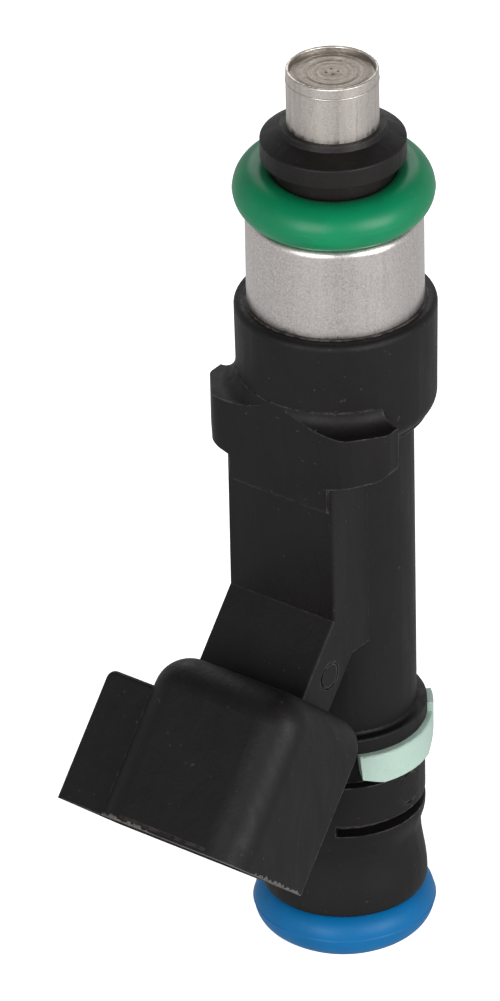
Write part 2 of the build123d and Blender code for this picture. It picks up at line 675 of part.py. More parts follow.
def make_socket():
    """Hollow of the plug socket, with a key rib left standing on each side wall."""
    open_end = HOOD_MOUTH + OVERLAP
    step_x = STEP_X + HOOD_WALL
    side_x = HOOD_X0 + HOOD_WALL
    low_y = HOOD_Y0 + HOOD_WALL
    top_y = HOOD_Y1 - HOOD_WALL
    main = block(step_x, HOOD_X1 - HOOD_WALL, low_y, top_y, SOCKET_FLOOR, open_end)
    main = fillet(edges_at(main, Y=top_y, Z=(SOCKET_FLOOR + open_end) / 2), SOCKET_ROUND)
    side = block(side_x, step_x + OVERLAP, low_y, STEP_Y - HOOD_WALL, SIDE_FLOOR, open_end)
    side = fillet(edges_at(side, X=side_x, Z=(SIDE_FLOOR + open_end) / 2), SIDE_SOCKET_ROUND)
    hollow = main + side
    for wall_x, inward in ((side_x, 1), (HOOD_X1 - HOOD_WALL, -1)):
        x0, x1 = sorted((wall_x - inward * OVERLAP, wall_x + inward * KEY_H))
        hollow -= block(x0, x1, KEY_Y, KEY_Y + KEY_W, SOCKET_FLOOR, HOOD_MOUTH - KEY_SET_BACK)
    return one(hollow)


def make_clip_slot():
    """Two arcs cut for the retaining clip, with solid webs at the front and the back."""
    slot = tube(BAND_R + OVERLAP, CLIP_SLOT_R, CLIP_SLOT_Z0, CLIP_SLOT_Z0 + CLIP_SLOT_H)
    for centre in (-90, 90):
        slot -= wedge(CLIP_WEB_ANGLE, centre, 2 * BAND_R, CLIP_SLOT_Z0, CLIP_SLOT_Z0 + CLIP_SLOT_H)
    return slot


def make_overmold_body(terminals):
    body = make_barrel() + make_lug() + make_rib() + in_connector(make_neck() + make_hood())
    body -= in_connector(make_socket())
    body -= make_clip_slot()
    for side in (-1, 1):
        body -= Pos(side * BAND_R, 0, GROOVE_Z0 - BAND_MARK_DROP) * Rot(0, 90, 0) * make_mark(BAND_MARK_R)
    body -= tube(SLEEVE_R, 0, 0, COLLAR_Z1 + OVERLAP)
    body -= tube(HOUSING_R, 0, HOUSING_Z0, COLLAR_Z1 + OVERLAP)
    body -= make_carrier()
    for terminal in terminals:
        body -= terminal
    return one(body)


# ---- colour ring ----------------------------------------------------------------------------
def cut_round(angle, outline):
    """Prism across the colour ring's wall from (degrees past the given angle, height) points."""
    run = [(radians(past) * RING_R, z) for past, z in outline]
    tangent_plane = Plane(origin=(GROOVE_R - OVERLAP, 0, 0), x_dir=(0, 1, 0), z_dir=(1, 0, 0))
    prism = extrude(tangent_plane * make_face(Polyline(*run, close=True)), RING_R - GROOVE_R + 2 * OVERLAP)
    return Rot(0, 0, angle - 90) * prism


def make_ring_cuts():
    """What one side of the colour ring loses: a slanted end with a low toe, and a rise at the back."""
    end = cut_round(RING_END_ANGLE, [
        (0, FLANGE_Z0),
        (RING_HEEL_ANGLE - RING_END_ANGLE, RING_Z0 + RING_TOE_H),
        (RING_TOE_ANGLE - RING_END_ANGLE, RING_Z0),
        (0, RING_Z0),
    ])
    half_rise = (RING_BACK_ANGLE - RING_RISE_ANGLE) / 2
    rise = cut_round(RING_RISE_ANGLE + half_rise, [
        (-half_rise, RING_Z0),
        (half_rise, RING_BACK_Z0),
        (half_rise, RING_Z0),
    ])
    return end + rise


def make_colour_ring():
    """Open snap ring in the body's groove, with a tab over the flange on each side."""
    top = FLANGE_Z0 - FIT
    bore = GROOVE_R + FIT
    ring = tube(RING_R, bore, RING_Z0, top)
    ring = fillet(circles(ring, RING_R, top, top), RING_ROUND)
    ring -= wedge(RING_END_ANGLE, -90, 2 * RING_R, RING_Z0, top)
    ring -= wedge(180 - RING_BACK_ANGLE, 90, 2 * RING_R, RING_Z0, RING_BACK_Z0)
    tab = tube(RING_R, FLANGE_R + FIT, RING_BACK_Z0, RING_TAB_Z)
    tab &= wedge(RING_TAB_HALF_ANGLE, RING_TAB_ANGLE - 90, 2 * RING_R, RING_BACK_Z0, RING_TAB_Z)
    cuts = make_ring_cuts()
    ring = ring + tab + mirror(tab, Plane.YZ)
    return one(ring - cuts - mirror(cuts, Plane.YZ))


# ---- inlet filter ---------------------------------------------------------------------------
def make_filter_press_ring():
    radius = FILTER_RING_R - FIT
    ring = tube(radius, FILTER_FRAME_R, FILTER_RING_Z0, FILTER_RING_Z1)
    return one(chamfer(circles(ring, radius, FILTER_RING_Z0, FILTER_RING_Z1), FILTER_RING_CHAMFER))


def make_filter_frame():
    """Plastic basket: a collar in the press ring, ribs outside the mesh and an end cap."""
    rib_r = FILTER_MESH_R + FILTER_RIB_T
    half_w = FILTER_RIB_W / 2
    frame = tube(FILTER_FRAME_R - FIT, FILTER_MESH_R, FILTER_RING_Z0, FILTER_RING_Z1 + FILTER_COLLAR_LIP)
    frame += tube(rib_r, 0, FILTER_TOP_Z - FILTER_CAP_T, FILTER_TOP_Z)
    rib = block(FILTER_MESH_R, rib_r, -half_w, half_w, FILTER_RING_Z1, FILTER_TOP_Z)
    for step in range(FILTER_RIBS):
        frame += Rot(0, 0, 45 + 360 / FILTER_RIBS * step) * rib
    return one(frame)


def make_filter_mesh():
    z0 = FILTER_RING_Z0 + MESH_LAP
    return one(tube(FILTER_MESH_R - FIT, FILTER_MESH_R - MESH_T, z0, FILTER_TOP_Z - FILTER_CAP_T))


# ---- the assembly ---------------------------------------------------------------------------
def make_parts():
    """Every piece under its node's name."""
    terminals = [make_terminal(-1), make_terminal(1)]
    leads = Compound(children=[one(make_lead(-1)), one(make_lead(1))])
    return {
        "overmold_body": make_overmold_body(terminals),
        "magnet_housing": make_magnet_housing(),
        "flux_washer": make_flux_washer(),
        "coil_bobbin": make_coil_bobbin(),
        "coil_winding": make_coil_winding(),
        "coil_leads": leads,
        "terminal_left": terminals[0],
        "terminal_right": terminals[1],
        "valve_sleeve": make_valve_sleeve(),
        "orifice_plate": make_orifice_plate(),
        "valve_seat": make_valve_seat(),
        "valve_ball": make_valve_ball(),
        "needle_tube": make_needle_tube(),
        "armature": make_armature(),
        "closing_spring": make_closing_spring(),
        "stationary_core": make_stationary_core(),
        "adjusting_sleeve": make_adjusting_sleeve(),
        "nozzle_o_ring": make_nozzle_o_ring(),
        "o_ring_retainer": make_o_ring_retainer(),
        "inlet_o_ring": make_o_ring(RAIL_SEAL_OD, RAIL_SEAL_Z, INLET_NECK_R),
        "filter_press_ring": make_filter_press_ring(),
        "filter_frame": make_filter_frame(),
        "filter_mesh": make_filter_mesh(),
        "colour_ring": make_colour_ring(),
    }


os.makedirs("parts", exist_ok=True)
for node, piece in make_parts().items():
    export_step(piece, f"parts/{node}.step")
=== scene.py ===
import json
import math

import bmesh
import bpy
from mathutils import Matrix, Vector, noise


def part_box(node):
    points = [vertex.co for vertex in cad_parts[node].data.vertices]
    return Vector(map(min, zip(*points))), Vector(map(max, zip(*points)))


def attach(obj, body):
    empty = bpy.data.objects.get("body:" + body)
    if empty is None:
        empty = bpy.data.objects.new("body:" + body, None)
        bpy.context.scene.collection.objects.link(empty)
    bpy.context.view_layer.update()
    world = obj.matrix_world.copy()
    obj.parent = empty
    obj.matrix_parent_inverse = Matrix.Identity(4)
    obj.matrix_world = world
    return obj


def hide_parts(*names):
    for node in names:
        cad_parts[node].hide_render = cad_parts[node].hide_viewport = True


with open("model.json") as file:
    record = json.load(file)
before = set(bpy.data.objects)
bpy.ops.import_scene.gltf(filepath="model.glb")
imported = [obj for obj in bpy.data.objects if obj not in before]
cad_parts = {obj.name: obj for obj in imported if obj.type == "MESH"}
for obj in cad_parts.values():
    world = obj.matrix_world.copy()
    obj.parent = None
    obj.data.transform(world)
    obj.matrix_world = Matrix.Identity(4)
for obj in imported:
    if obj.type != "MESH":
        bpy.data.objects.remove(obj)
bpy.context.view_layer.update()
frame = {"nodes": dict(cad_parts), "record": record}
nodes = frame["nodes"]
MM = 0.001                      # lengths are in metres

# ---- camera: the viewing angle, in degrees and metres ----------------------------------------------
CAMERA_AZIMUTH = 36.99
CAMERA_ELEVATION = 31.49
CAMERA_ROLL = -1.23
CAMERA_DISTANCE = 0.64416
CAMERA_LENS = 318.5             # millimetres, on a sensor of CAMERA_SENSOR
CAMERA_SENSOR = 36.0
LOOK_HEIGHT = 0.03707           # height on the valve's axis that the camera looks at
LOOK_ASIDE = -0.00645           # and how far to its right

# ---- O-rings -------------------------------------------------------------------------------------
SLEEVE_R = 3.80 * MM            # glands of the two O-rings
INLET_NECK_R = 3.40 * MM
SEAL_STEPS = 180                # points round the section
SEAL_TURNS = 200                # sections round the ring
SEAL_UNEVEN = 0.05 * MM
SEAL_WAVE = 4 * MM
SEAL_LOW_SIDE = (0.60, -0.80)   # the direction in which a tilted O-ring sits lower
PARTING_ANGLE = 0.035           # half width of the parting line, in radians round the section
MANIFOLD_SEAL = {"above": 1.03, "below": 1.0, "tilt": 0.28 * MM, "parting": 0.02 * MM}
RAIL_SEAL = {"above": 1.0, "below": 1.11, "tilt": 0.0, "parting": 0.07 * MM}
RETAINER_FOOT_R = 4.57 * MM     # the retainer's foot presses on the upper O-ring inside this radius
RETAINER_FOOT_Z = 63.93 * MM

# ---- spray disc ----------------------------------------------------------------------------------
DISC_STEPS = 90                 # points from the rim to the middle
DISC_TURNS = 144
DISC_RINGS = (                  # radius, half width and height of each stamped ring
    (2.50 * MM, 0.12 * MM, 0.05 * MM),
    (1.80 * MM, 0.10 * MM, 0.04 * MM),
    (0.00 * MM, 0.42 * MM, 0.07 * MM),
)
DISC_SINK = 0.03 * MM
DISC_UNEVEN = 0.018 * MM
DISC_WAVE = 0.35 * MM
DISC_TOP_DEPTH = 0.01 * MM      # points this near the top belong to its face
SPRAY_HOLES = 4
SPRAY_FIRST_ANGLE = 45
SPRAY_RING_R = 0.42 * MM
SPRAY_HOLE_R = 0.11 * MM
SPRAY_DEPTH = 0.06 * MM
SPRAY_EDGE = 4                  # the higher, the steeper the holes' walls
MERGE_DISTANCE = 1e-7

# ---- flash along the socket's mouth --------------------------------------------------------------
SOCKET_ORIGIN = (0.0, -7.15 * MM, 31.84 * MM)
SOCKET_OUT = (0.0, -0.7541, 0.6567)         # square to the socket's outer face
SOCKET_DOWN = (0.0, -0.6567, -0.7541)       # towards the mouth
MOUTH_SIDE_TOP = 5.5 * MM       # the mouth's outline: the side box, a corner, the top, a corner
MOUTH_TOP = 6.6 * MM
MOUTH_CORNER_R = 2.7 * MM
MOUTH_CORNERS = (-1.9 * MM, 5.55 * MM)      # X of the corners' centres
MOUTH_OUT = 19.2 * MM           # how far the mouth is from the socket's origin
MOUTH_RIGHT = 8.25 * MM         # X of the right side, and the lowest point of its outline
MOUTH_FOOT = -4.1 * MM
FLASH_RAGGED = ((0, 5.2 * MM), (14.6 * MM, 22.0 * MM))      # stretches of the path with ragged flash
FLASH_PITCH = 0.05 * MM
FLASH_BACK = 0.30 * MM          # how far back from the mouth the ragged flash lies
FLASH_LINE = 0.07 * MM          # and the fine line between
FLASH_PROUD = 0.05 * MM
FLASH_LINE_PROUD = 0.4          # share of that height left where there is only the fine line
FLASH_SINK = 0.05 * MM
FLASH_WAVE = 0.30 * MM
FLASH_MEAN = 0.5                # raggedness: its mean, its swing and its least
FLASH_SWING = 1.1
FLASH_LEAST = 0.05

# ---- studio --------------------------------------------------------------------------------------
TABLE_GLOW = 0.60               # radiance of the table and the lower walls
ROOM_GLOW = 0.07                # and of the room overhead
ROOM_TINT = (0.97, 0.98, 1.0, 1)
FADE_FROM = 0.32                # sines of the elevations between which the one turns into the other
FADE_TO = 0.72
FLOOR_GLOW = 0.75               # what the camera sees of the table
FLOOR_HALF = 1.6
LIT_HEIGHT = 0.04               # height on the valve's axis that the lamps are aimed at
LAMPS = (                       # name, degrees aside of the camera and up, distance, size and watts
    ("key_left", -27, 17, 0.45, (0.24, 0.26), 1.2),
    ("key_right", 45, 17, 0.45, (0.24, 0.26), 1.6),
    ("back", 180, 32, 0.7, (0.50, 0.18), 1.0),
)


def aim(obj, place, target, roll=0.0):
    """Put an object at a place, its -Z towards the target."""
    turn = (Vector(target) - Vector(place)).to_track_quat("-Z", "Y").to_matrix().to_4x4()
    obj.matrix_world = Matrix.Translation(place) @ turn @ Matrix.Rotation(roll, 4, "Z")


def around(azimuth, elevation, distance):
    """Offset of a point seen at an azimuth and elevation; azimuth 0 is in front, towards -Y."""
    a, e = math.radians(azimuth), math.radians(elevation)
    return distance * Vector((math.sin(a) * math.cos(e), -math.cos(a) * math.cos(e), math.sin(e)))


def make_camera():
    """Camera at the viewing angle, rolled a little."""
    data = bpy.data.cameras.new("camera")
    data.lens = CAMERA_LENS
    data.sensor_width = CAMERA_SENSOR
    data.clip_start = 0.01
    data.clip_end = 20.0
    camera = bpy.data.objects.new("camera", data)
    bpy.context.scene.collection.objects.link(camera)
    azimuth = math.radians(CAMERA_AZIMUTH)
    aside = Vector((math.cos(azimuth), math.sin(azimuth), 0))
    target = LOOK_ASIDE * aside + Vector((0, 0, LOOK_HEIGHT))
    place = target + around(CAMERA_AZIMUTH, CAMERA_ELEVATION, CAMERA_DISTANCE)
    aim(camera, place, target, math.radians(CAMERA_ROLL))
    bpy.context.scene.camera = camera


def soft_box(name, azimuth, elevation, distance, size, watts):
    """Rectangular lamp aimed at the injector's middle."""
    data = bpy.data.lights.new(name, "AREA")
    data.shape = "RECTANGLE"
    data.size, data.size_y = size
    data.energy = watts
    lamp = bpy.data.objects.new(name, data)
    bpy.context.scene.collection.objects.link(lamp)
    middle = Vector((0, 0, LIT_HEIGHT))
    aim(lamp, middle + around(azimuth, elevation, distance), middle)


def make_world():
    """A pale table and walls all round, and a dim room overhead."""
    world = bpy.data.worlds.new("studio")
    world.use_nodes = True
    tree = world.node_tree
    background = tree.nodes["Background"]
    place = tree.nodes.new("ShaderNodeTexCoord")
    split = tree.nodes.new("ShaderNodeSeparateXYZ")
    fade = tree.nodes.new("ShaderNodeMapRange")
    tree.links.new(place.outputs["Generated"], split.inputs[0])
    tree.links.new(split.outputs["Z"], fade.inputs["Value"])
    settings = {"From Min": FADE_FROM, "From Max": FADE_TO, "To Min": TABLE_GLOW, "To Max": ROOM_GLOW}
    for name, value in settings.items():
        fade.inputs[name].default_value = value
    tree.links.new(fade.outputs["Result"], background.inputs["Strength"])
    background.inputs["Color"].default_value = ROOM_TINT
    bpy.context.scene.world = world


def make_floor():
    """Plain pale table that only the camera sees."""
    mesh = bpy.data.meshes.new("floor")
    corners = [(x * FLOOR_HALF, y * FLOOR_HALF, 0) for x, y in ((-1, -1), (1, -1), (1, 1), (-1, 1))]
    mesh.from_pydata(corners, [], [(0, 1, 2, 3)])
    floor = bpy.data.objects.new("floor", mesh)
    bpy.context.scene.collection.objects.link(floor)
    floor.visible_glossy = False
    floor.visible_diffuse = False
    floor.visible_shadow = False
    surface = Surface("pale_floor", (0.9, 0.9, 0.9), roughness=0.9)
    surface.shader.inputs["Emission Color"].default_value = (1, 1, 1, 1)
    surface.shader.inputs["Emission Strength"].default_value = FLOOR_GLOW
    floor.data.materials.append(surface.material)


def make_studio():
    """Two soft keys in front, a wide soft box behind, and the pale surroundings."""
    for name, aside, elevation, distance, size, watts in LAMPS:
        soft_box(name, CAMERA_AZIMUTH + aside, elevation, distance, size, watts)
    make_world()
    make_floor()
    bpy.context.scene.view_settings.view_transform = "Standard"


# ---- material graphs -----------------------------------------------------------------------------
EDGE_WEAR_AND_HIGHLIGHT_WIDTH = 0.20 * MM           # width of the paler edges of mouldings: partly wear, partly painted edge highlight
EDGE_WEAR_AND_HIGHLIGHT_PATCH = 0.6 * MM           # and the length of the stretches that are paler still, with more wear and more painted highlight
PLASTIC_GRAIN = 0.016 * MM
WEAVE_PER_METRE = 900
SOOT = (0.17, 0.14, 0.11)
DEPOSIT = (0.28, 0.25, 0.2)


class Surface:
    """One principled material; its helpers add procedural nodes and return their outputs."""

    def __init__(self, name, colour, roughness=0.5, metallic=0.0, **sockets):
        self.material = bpy.data.materials.new(name)
        self.material.use_nodes = True
        self.tree = self.material.node_tree
        self.shader = self.tree.nodes["Principled BSDF"]
        self.set("Base Color", (*colour, 1))
        self.set("Roughness", roughness)
        self.set("Metallic", metallic)
        for socket, value in sockets.items():
            self.set(socket.replace("_", " "), value)
        self.place = self.node("ShaderNodeTexCoord").outputs["Object"]

    def set(self, socket, value):
        self.shader.inputs[socket].default_value = value

    def node(self, kind, **settings):
        made = self.tree.nodes.new(kind)
        for key, value in settings.items():
            setattr(made, key, value)
        return made

    def feed(self, socket, value):
        """Link an output or set a plain value."""
        if isinstance(value, bpy.types.NodeSocket):
            self.tree.links.new(value, socket)
        else:
            socket.default_value = value

    def noise(self, size, detail=2.0, roughness=0.5, stretch=(1, 1, 1), warp=0.0):
        """Noise whose features are about size metres, longer along an axis where stretch is below 1."""
        mapping = self.node("ShaderNodeMapping")
        mapping.inputs["Scale"].default_value = [s / size for s in stretch]
        self.feed(mapping.inputs["Vector"], self.place)
        made = self.node("ShaderNodeTexNoise")
        self.feed(made.inputs["Vector"], mapping.outputs["Vector"])
        made.inputs["Scale"].default_value = 1.0
        made.inputs["Detail"].default_value = detail
        made.inputs["Roughness"].default_value = roughness
        made.inputs["Distortion"].default_value = warp
        return made.outputs["Fac"]

    def math(self, operation, a, b=0.0, c=0.0):
        made = self.node("ShaderNodeMath", operation=operation)
        for socket, value in zip(made.inputs, (a, b, c)):
            self.feed(socket, value)
        return made.outputs["Value"]

    def spread(self, value, low, high, out_low, out_high):
        """Map a value from one range to another, held at the ends."""
        made = self.node("ShaderNodeMapRange", clamp=True)
        for socket, number in zip(made.inputs, (value, low, high, out_low, out_high)):
            self.feed(socket, number)
        return made.outputs["Result"]

    def blend(self, factor, a, b):
        """Mix two colours."""
        made = self.node("ShaderNodeMix", data_type="RGBA")
        self.feed(made.inputs["Factor"], factor)
        colour_inputs = [s for s in made.inputs if s.type == "RGBA"]
        for socket, value in zip(colour_inputs, (a, b)):
            self.feed(socket, value if isinstance(value, bpy.types.NodeSocket) else (*value, 1))
        return next(s for s in made.outputs if s.type == "RGBA")

    def axis_distance(self):
        """Distance from the valve's axis."""
        split = self.node("ShaderNodeSeparateXYZ")
        self.feed(split.inputs[0], self.place)
        square = self.math("MULTIPLY", split.outputs["X"], split.outputs["X"])
        total = self.math("MULTIPLY_ADD", split.outputs["Y"], split.outputs["Y"], square)
        return self.math("SQRT", total)

    def rings(self, size, detail=3.0):
        """Turning marks round the axis on a flat face: noise that only changes with radius."""
        scaled = self.math("DIVIDE", self.axis_distance(), size)
        made = self.node("ShaderNodeTexNoise", noise_dimensions="1D")
        self.feed(made.inputs["W"], scaled)
        made.inputs["Scale"].default_value = 1.0
        made.inputs["Detail"].default_value = detail
        return made.outputs["Fac"]

    def edges(self, radius):
        """1 on sharp edges, within about radius metres, in uneven stretches, and 0 on flat faces; it marks
        the edges painted paler, partly as wear and partly as a painted highlight.
        """
        rounded = self.node("ShaderNodeBevel", samples=6)
        rounded.inputs["Radius"].default_value = radius
        plain = self.node("ShaderNodeNewGeometry")
        between = self.node("ShaderNodeVectorMath", operation="DOT_PRODUCT")
        self.feed(between.inputs[0], rounded.outputs["Normal"])
        self.feed(between.inputs[1], plain.outputs["Normal"])
        edge = self.spread(between.outputs["Value"], 0.985, 0.80, 0.0, 1.0)
        wear = self.spread(self.noise(EDGE_WEAR_AND_HIGHLIGHT_PATCH, detail=3), 0.40, 0.62, 0.15, 1.0)
        return self.math("MULTIPLY", edge, wear)

    def bump(self, height, depth, under=None):
        """Add relief of about depth metres."""
        made = self.node("ShaderNodeBump")
        made.inputs["Strength"].default_value = 1.0
        made.inputs["Distance"].default_value = depth
        self.feed(made.inputs["Height"], height)
        if under is not None:
            self.feed(made.inputs["Normal"], under)
        return made.outputs["Normal"]

    def finish(self, colour, roughness, normal):
        """Feed the shader and return the material."""
        for socket, value in (("Base Color", colour), ("Roughness", roughness), ("Normal", normal)):
            self.feed(self.shader.inputs[socket], value)
        return self.material


def shade(colour, factor):
    """The colour made darker or paler."""
    return tuple(c * factor for c in colour)


def moulded_plastic(name, colour, roughness, dust_and_edge_colour, gloss=0.25, edge_wear_and_highlight=0.5, mottle=1.0):
    """Glass-filled moulding: fine grain, faint cloudy patches, a few pale specks of dust and paler edges,
    partly wear and partly painted edge highlight.
    """
    s = Surface(name, colour, roughness, Specular_IOR_Level=gloss)
    fine = s.noise(0.22 * MM, detail=4, roughness=0.65)
    cloud = s.noise(4 * MM, detail=3, roughness=0.6)
    flow = s.noise(1.6 * MM, detail=3, stretch=(1, 1, 0.25), warp=0.6)
    specks = s.spread(s.noise(0.45 * MM, detail=2), 0.71, 0.77, 0.0, 0.3)
    dark, pale, grainy = (shade(colour, 1 + step * mottle) for step in (-0.2, 0.25, 0.7))
    tone = s.blend(s.spread(cloud, 0.35, 0.7, 0, 1), dark, pale)
    tone = s.blend(s.spread(fine, 0.35, 0.75, 0, 0.5), tone, grainy)
    # edges painted paler: partly wear, partly a painted highlight along the edge lines
    rubbed_and_highlit = s.math("MULTIPLY", s.edges(EDGE_WEAR_AND_HIGHLIGHT_WIDTH), edge_wear_and_highlight)
    specks = s.math("MULTIPLY", specks, mottle)
    # pale specks are dust; the paler edges are wear and painted edge highlight
    tone = s.blend(s.math("MAXIMUM", specks, rubbed_and_highlit), tone, dust_and_edge_colour)
    rough = s.math("ADD", s.spread(flow, 0.3, 0.7, roughness - 0.06, roughness + 0.07),
                   s.spread(fine, 0.3, 0.7, -0.03, 0.05))
    relief = s.bump(fine, PLASTIC_GRAIN)
    relief = s.bump(flow, 4 * PLASTIC_GRAIN, relief)
    return s.finish(tone, rough, relief)


def satin_steel(name, colour, roughness, lines, grain=0.09 * MM, stretch=0.06, streak=0.12, speckle=0.18):
    """Steel with speckled grain, turning lines round the axis and faint streaks along it."""
    s = Surface(name, colour, roughness, metallic=1.0)
    speck = s.noise(grain, detail=3, roughness=0.7)
    turning = s.noise(0.07 * MM, detail=3, stretch=(stretch, stretch, 1))
    along = s.noise(0.4 * MM, detail=3, stretch=(1, 1, 0.04), roughness=0.6)
    cloud = s.noise(3 * MM, detail=3, roughness=0.55)
    dark, pale = shade(colour, 1 - speckle), shade(colour, 1 + 0.7 * speckle)
    tone = s.blend(s.spread(speck, 0.3, 0.7, 0, 1), dark, pale)
    tone = s.blend(s.spread(cloud, 0.4, 0.7, 0, 0.35), tone, shade(colour, 0.8))
    tone = s.blend(s.spread(along, 0.45, 0.65, 0, streak * 3), tone, shade(colour, 0.78))
    rough = s.math("ADD", s.spread(cloud, 0.3, 0.7, roughness - 0.04, roughness + 0.06),
                   s.spread(along, 0.3, 0.7, -streak / 2, streak / 2))
    relief = s.bump(speck, 0.004 * MM)
    relief = s.bump(turning, lines, relief)
    return s.finish(tone, rough, relief)


def machined_disc(name, colour):
    """Faced end of the nozzle: rings round the axis, grey deposits."""
    s = Surface(name, colour, 0.5, metallic=0.9)
    rings = s.rings(0.22 * MM)
    speck = s.noise(0.12 * MM, detail=4, roughness=0.7)
    stain = s.noise(1.1 * MM, detail=3, roughness=0.6)
    tone = s.blend(s.spread(rings, 0.35, 0.65, 0, 1), shade(colour, 0.7), shade(colour, 1.1))
    tone = s.blend(s.spread(speck, 0.45, 0.75, 0, 0.5), tone, SOOT)
    tone = s.blend(s.spread(stain, 0.5, 0.75, 0, 0.35), tone, DEPOSIT)
    rough = s.spread(speck, 0.3, 0.7, 0.38, 0.6)
    relief = s.bump(rings, 0.03 * MM)
    relief = s.bump(speck, 0.01 * MM, relief)
    return s.finish(tone, rough, relief)


def seal_rubber(name, colour, pale, roughness=0.36, sheen=0.3):
    """Smooth moulded fluoro-rubber with a faint bloom and small scuffs."""
    s = Surface(name, colour, roughness, Specular_IOR_Level=sheen)
    fine = s.noise(0.25 * MM, detail=3, roughness=0.6)
    cloud = s.noise(2.5 * MM, detail=3, roughness=0.6)
    patches = s.noise(0.7 * MM, detail=3, stretch=(1, 1, 2.5), warp=1.2)
    scuff = s.spread(patches, 0.64, 0.72, 0.0, 1.0)
    tone = s.blend(s.spread(cloud, 0.35, 0.7, 0, 0.6), colour, shade(colour, 0.8))
    tone = s.blend(s.spread(fine, 0.6, 0.8, 0, 0.10), tone, pale)
    tone = s.blend(s.math("MULTIPLY", scuff, 0.12), tone, pale)
    rough = s.math("ADD", s.spread(cloud, 0.3, 0.7, roughness - 0.04, roughness + 0.05),
                   s.spread(scuff, 0.0, 1.0, 0.0, 0.12))
    return s.finish(tone, rough, s.bump(fine, 0.004 * MM))


def wound_wire(name, colour):
    """Enamelled copper wire, wound round the axis."""
    s = Surface(name, colour, 0.3, metallic=1.0, Coat_Weight=0.6)
    turns = s.noise(0.4 * MM, detail=2, stretch=(0.1, 0.1, 1))
    tone = s.blend(s.spread(turns, 0.35, 0.65, 0, 1), shade(colour, 0.75), shade(colour, 1.15))
    return s.finish(tone, s.spread(turns, 0.3, 0.7, 0.24, 0.38), s.bump(turns, 0.008 * MM))


def woven_mesh(name, colour):
    """Fine cloth of nylon thread."""
    s = Surface(name, colour, 0.7)
    wave = s.node("ShaderNodeTexWave", wave_type="BANDS", bands_direction="Z")
    s.feed(wave.inputs["Vector"], s.place)
    wave.inputs["Scale"].default_value = WEAVE_PER_METRE
    weave = s.math("MULTIPLY", wave.outputs["Fac"], s.noise(0.2 * MM, stretch=(1, 1, 0.1)))
    tone = s.blend(s.spread(weave, 0.1, 0.5, 0, 1), shade(colour, 0.45), colour)
    return s.finish(tone, 0.7, s.bump(weave, 0.03 * MM))


MATERIALS = {                   # each slot's maker, its colour and settings
    # the amount and colour of each plastic's paler edges give both wear and a painted edge highlight
    "body_plastic": (moulded_plastic, (0.0050, 0.0040, 0.0040), {
        "roughness": 0.54, "dust_and_edge_colour": (0.10, 0.092, 0.086), "gloss": 0.24, "edge_wear_and_highlight": 0.9}),
    "retainer_plastic": (moulded_plastic, (0.0064, 0.0050, 0.0048), {
        "roughness": 0.5, "dust_and_edge_colour": (0.09, 0.08, 0.075), "edge_wear_and_highlight": 0.7}),
    "housing_steel": (satin_steel, (0.70, 0.65, 0.62), {
        "roughness": 0.36, "lines": 0.002 * MM, "grain": 0.14 * MM, "speckle": 0.34}),
    "sleeve_steel": (satin_steel, (0.65, 0.60, 0.55), {
        "roughness": 0.42, "lines": 0.004 * MM, "grain": 0.12 * MM, "streak": 0.3, "speckle": 0.3}),
    "disc_steel": (machined_disc, (0.37, 0.33, 0.285), {}),
    "core_steel": (satin_steel, (0.52, 0.52, 0.53), {"roughness": 0.34, "lines": 0.004 * MM}),
    "hard_steel": (satin_steel, (0.70, 0.70, 0.71), {"roughness": 0.16, "lines": 0.001 * MM}),
    "spring_steel": (satin_steel, (0.48, 0.47, 0.46), {"roughness": 0.3, "lines": 0.002 * MM}),
    "bobbin_plastic": (moulded_plastic, (0.52, 0.46, 0.33), {"roughness": 0.5, "dust_and_edge_colour": (0.7, 0.66, 0.55)}),
    "copper_wire": (wound_wire, (0.70, 0.27, 0.12), {}),
    "terminal_tin": (satin_steel, (0.72, 0.70, 0.66), {
        "roughness": 0.28, "lines": 0.002 * MM, "stretch": 0.3}),
    "green_rubber": (seal_rubber, (0.0015, 0.195, 0.078), {"pale": (0.04, 0.38, 0.18), "sheen": 0.28}),
    "blue_rubber": (seal_rubber, (0.0008, 0.122, 0.32), {
        "pale": (0.04, 0.30, 0.55), "roughness": 0.45, "sheen": 0.2}),
    "mint_plastic": (moulded_plastic, (0.41, 0.54, 0.47), {
        "roughness": 0.45, "dust_and_edge_colour": (0.3, 0.36, 0.3), "edge_wear_and_highlight": 0.1, "mottle": 0.25}),
    "filter_plastic": (moulded_plastic, (0.62, 0.55, 0.38), {"roughness": 0.45, "dust_and_edge_colour": (0.75, 0.7, 0.6)}),
    "filter_cloth": (woven_mesh, (0.75, 0.72, 0.64), {}),
    "ring_brass": (satin_steel, (0.72, 0.50, 0.22), {"roughness": 0.28, "lines": 0.003 * MM}),
}
# pale plastic of the mouth's flash: partly whitened flash, partly a painted highlight along the mouth's edge
FLASH_WEAR_AND_HIGHLIGHT_PLASTIC = {"colour": (0.085, 0.078, 0.073), "roughness": 0.6, "dust_and_edge_colour": (0.2, 0.19, 0.18)}


def make_materials():
    """Every slot of the record, as a material."""
    return {slot: maker(slot, colour, **settings) for slot, (maker, colour, settings) in MATERIALS.items()}


def paint(materials):
    """Give every CAD node its slot's material."""
    for part in frame["record"]["subparts"]:
        mesh = nodes[part["node"]].data
        mesh.materials.clear()
        mesh.materials.append(materials[part["material_slot"]])


# ---- pieces made here ----------------------------------------------------------------------------
def add_piece(name, mesh, material, replaced=None):
    """Put a finished mesh in the scene as a piece on the injector's body."""
    piece = bpy.data.objects.new(name, mesh)
    bpy.context.scene.collection.objects.link(piece)
    mesh.materials.append(material)
    for face in mesh.polygons:
        face.use_smooth = True
    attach(piece, "body")
    if replaced:
        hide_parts(replaced)


def join(made, here, after):
    """Quads between two loops of as many points."""
    count = len(here)
    for k in range(count):
        made.faces.new((here[k], after[k], after[(k + 1) % count], here[(k + 1) % count]))


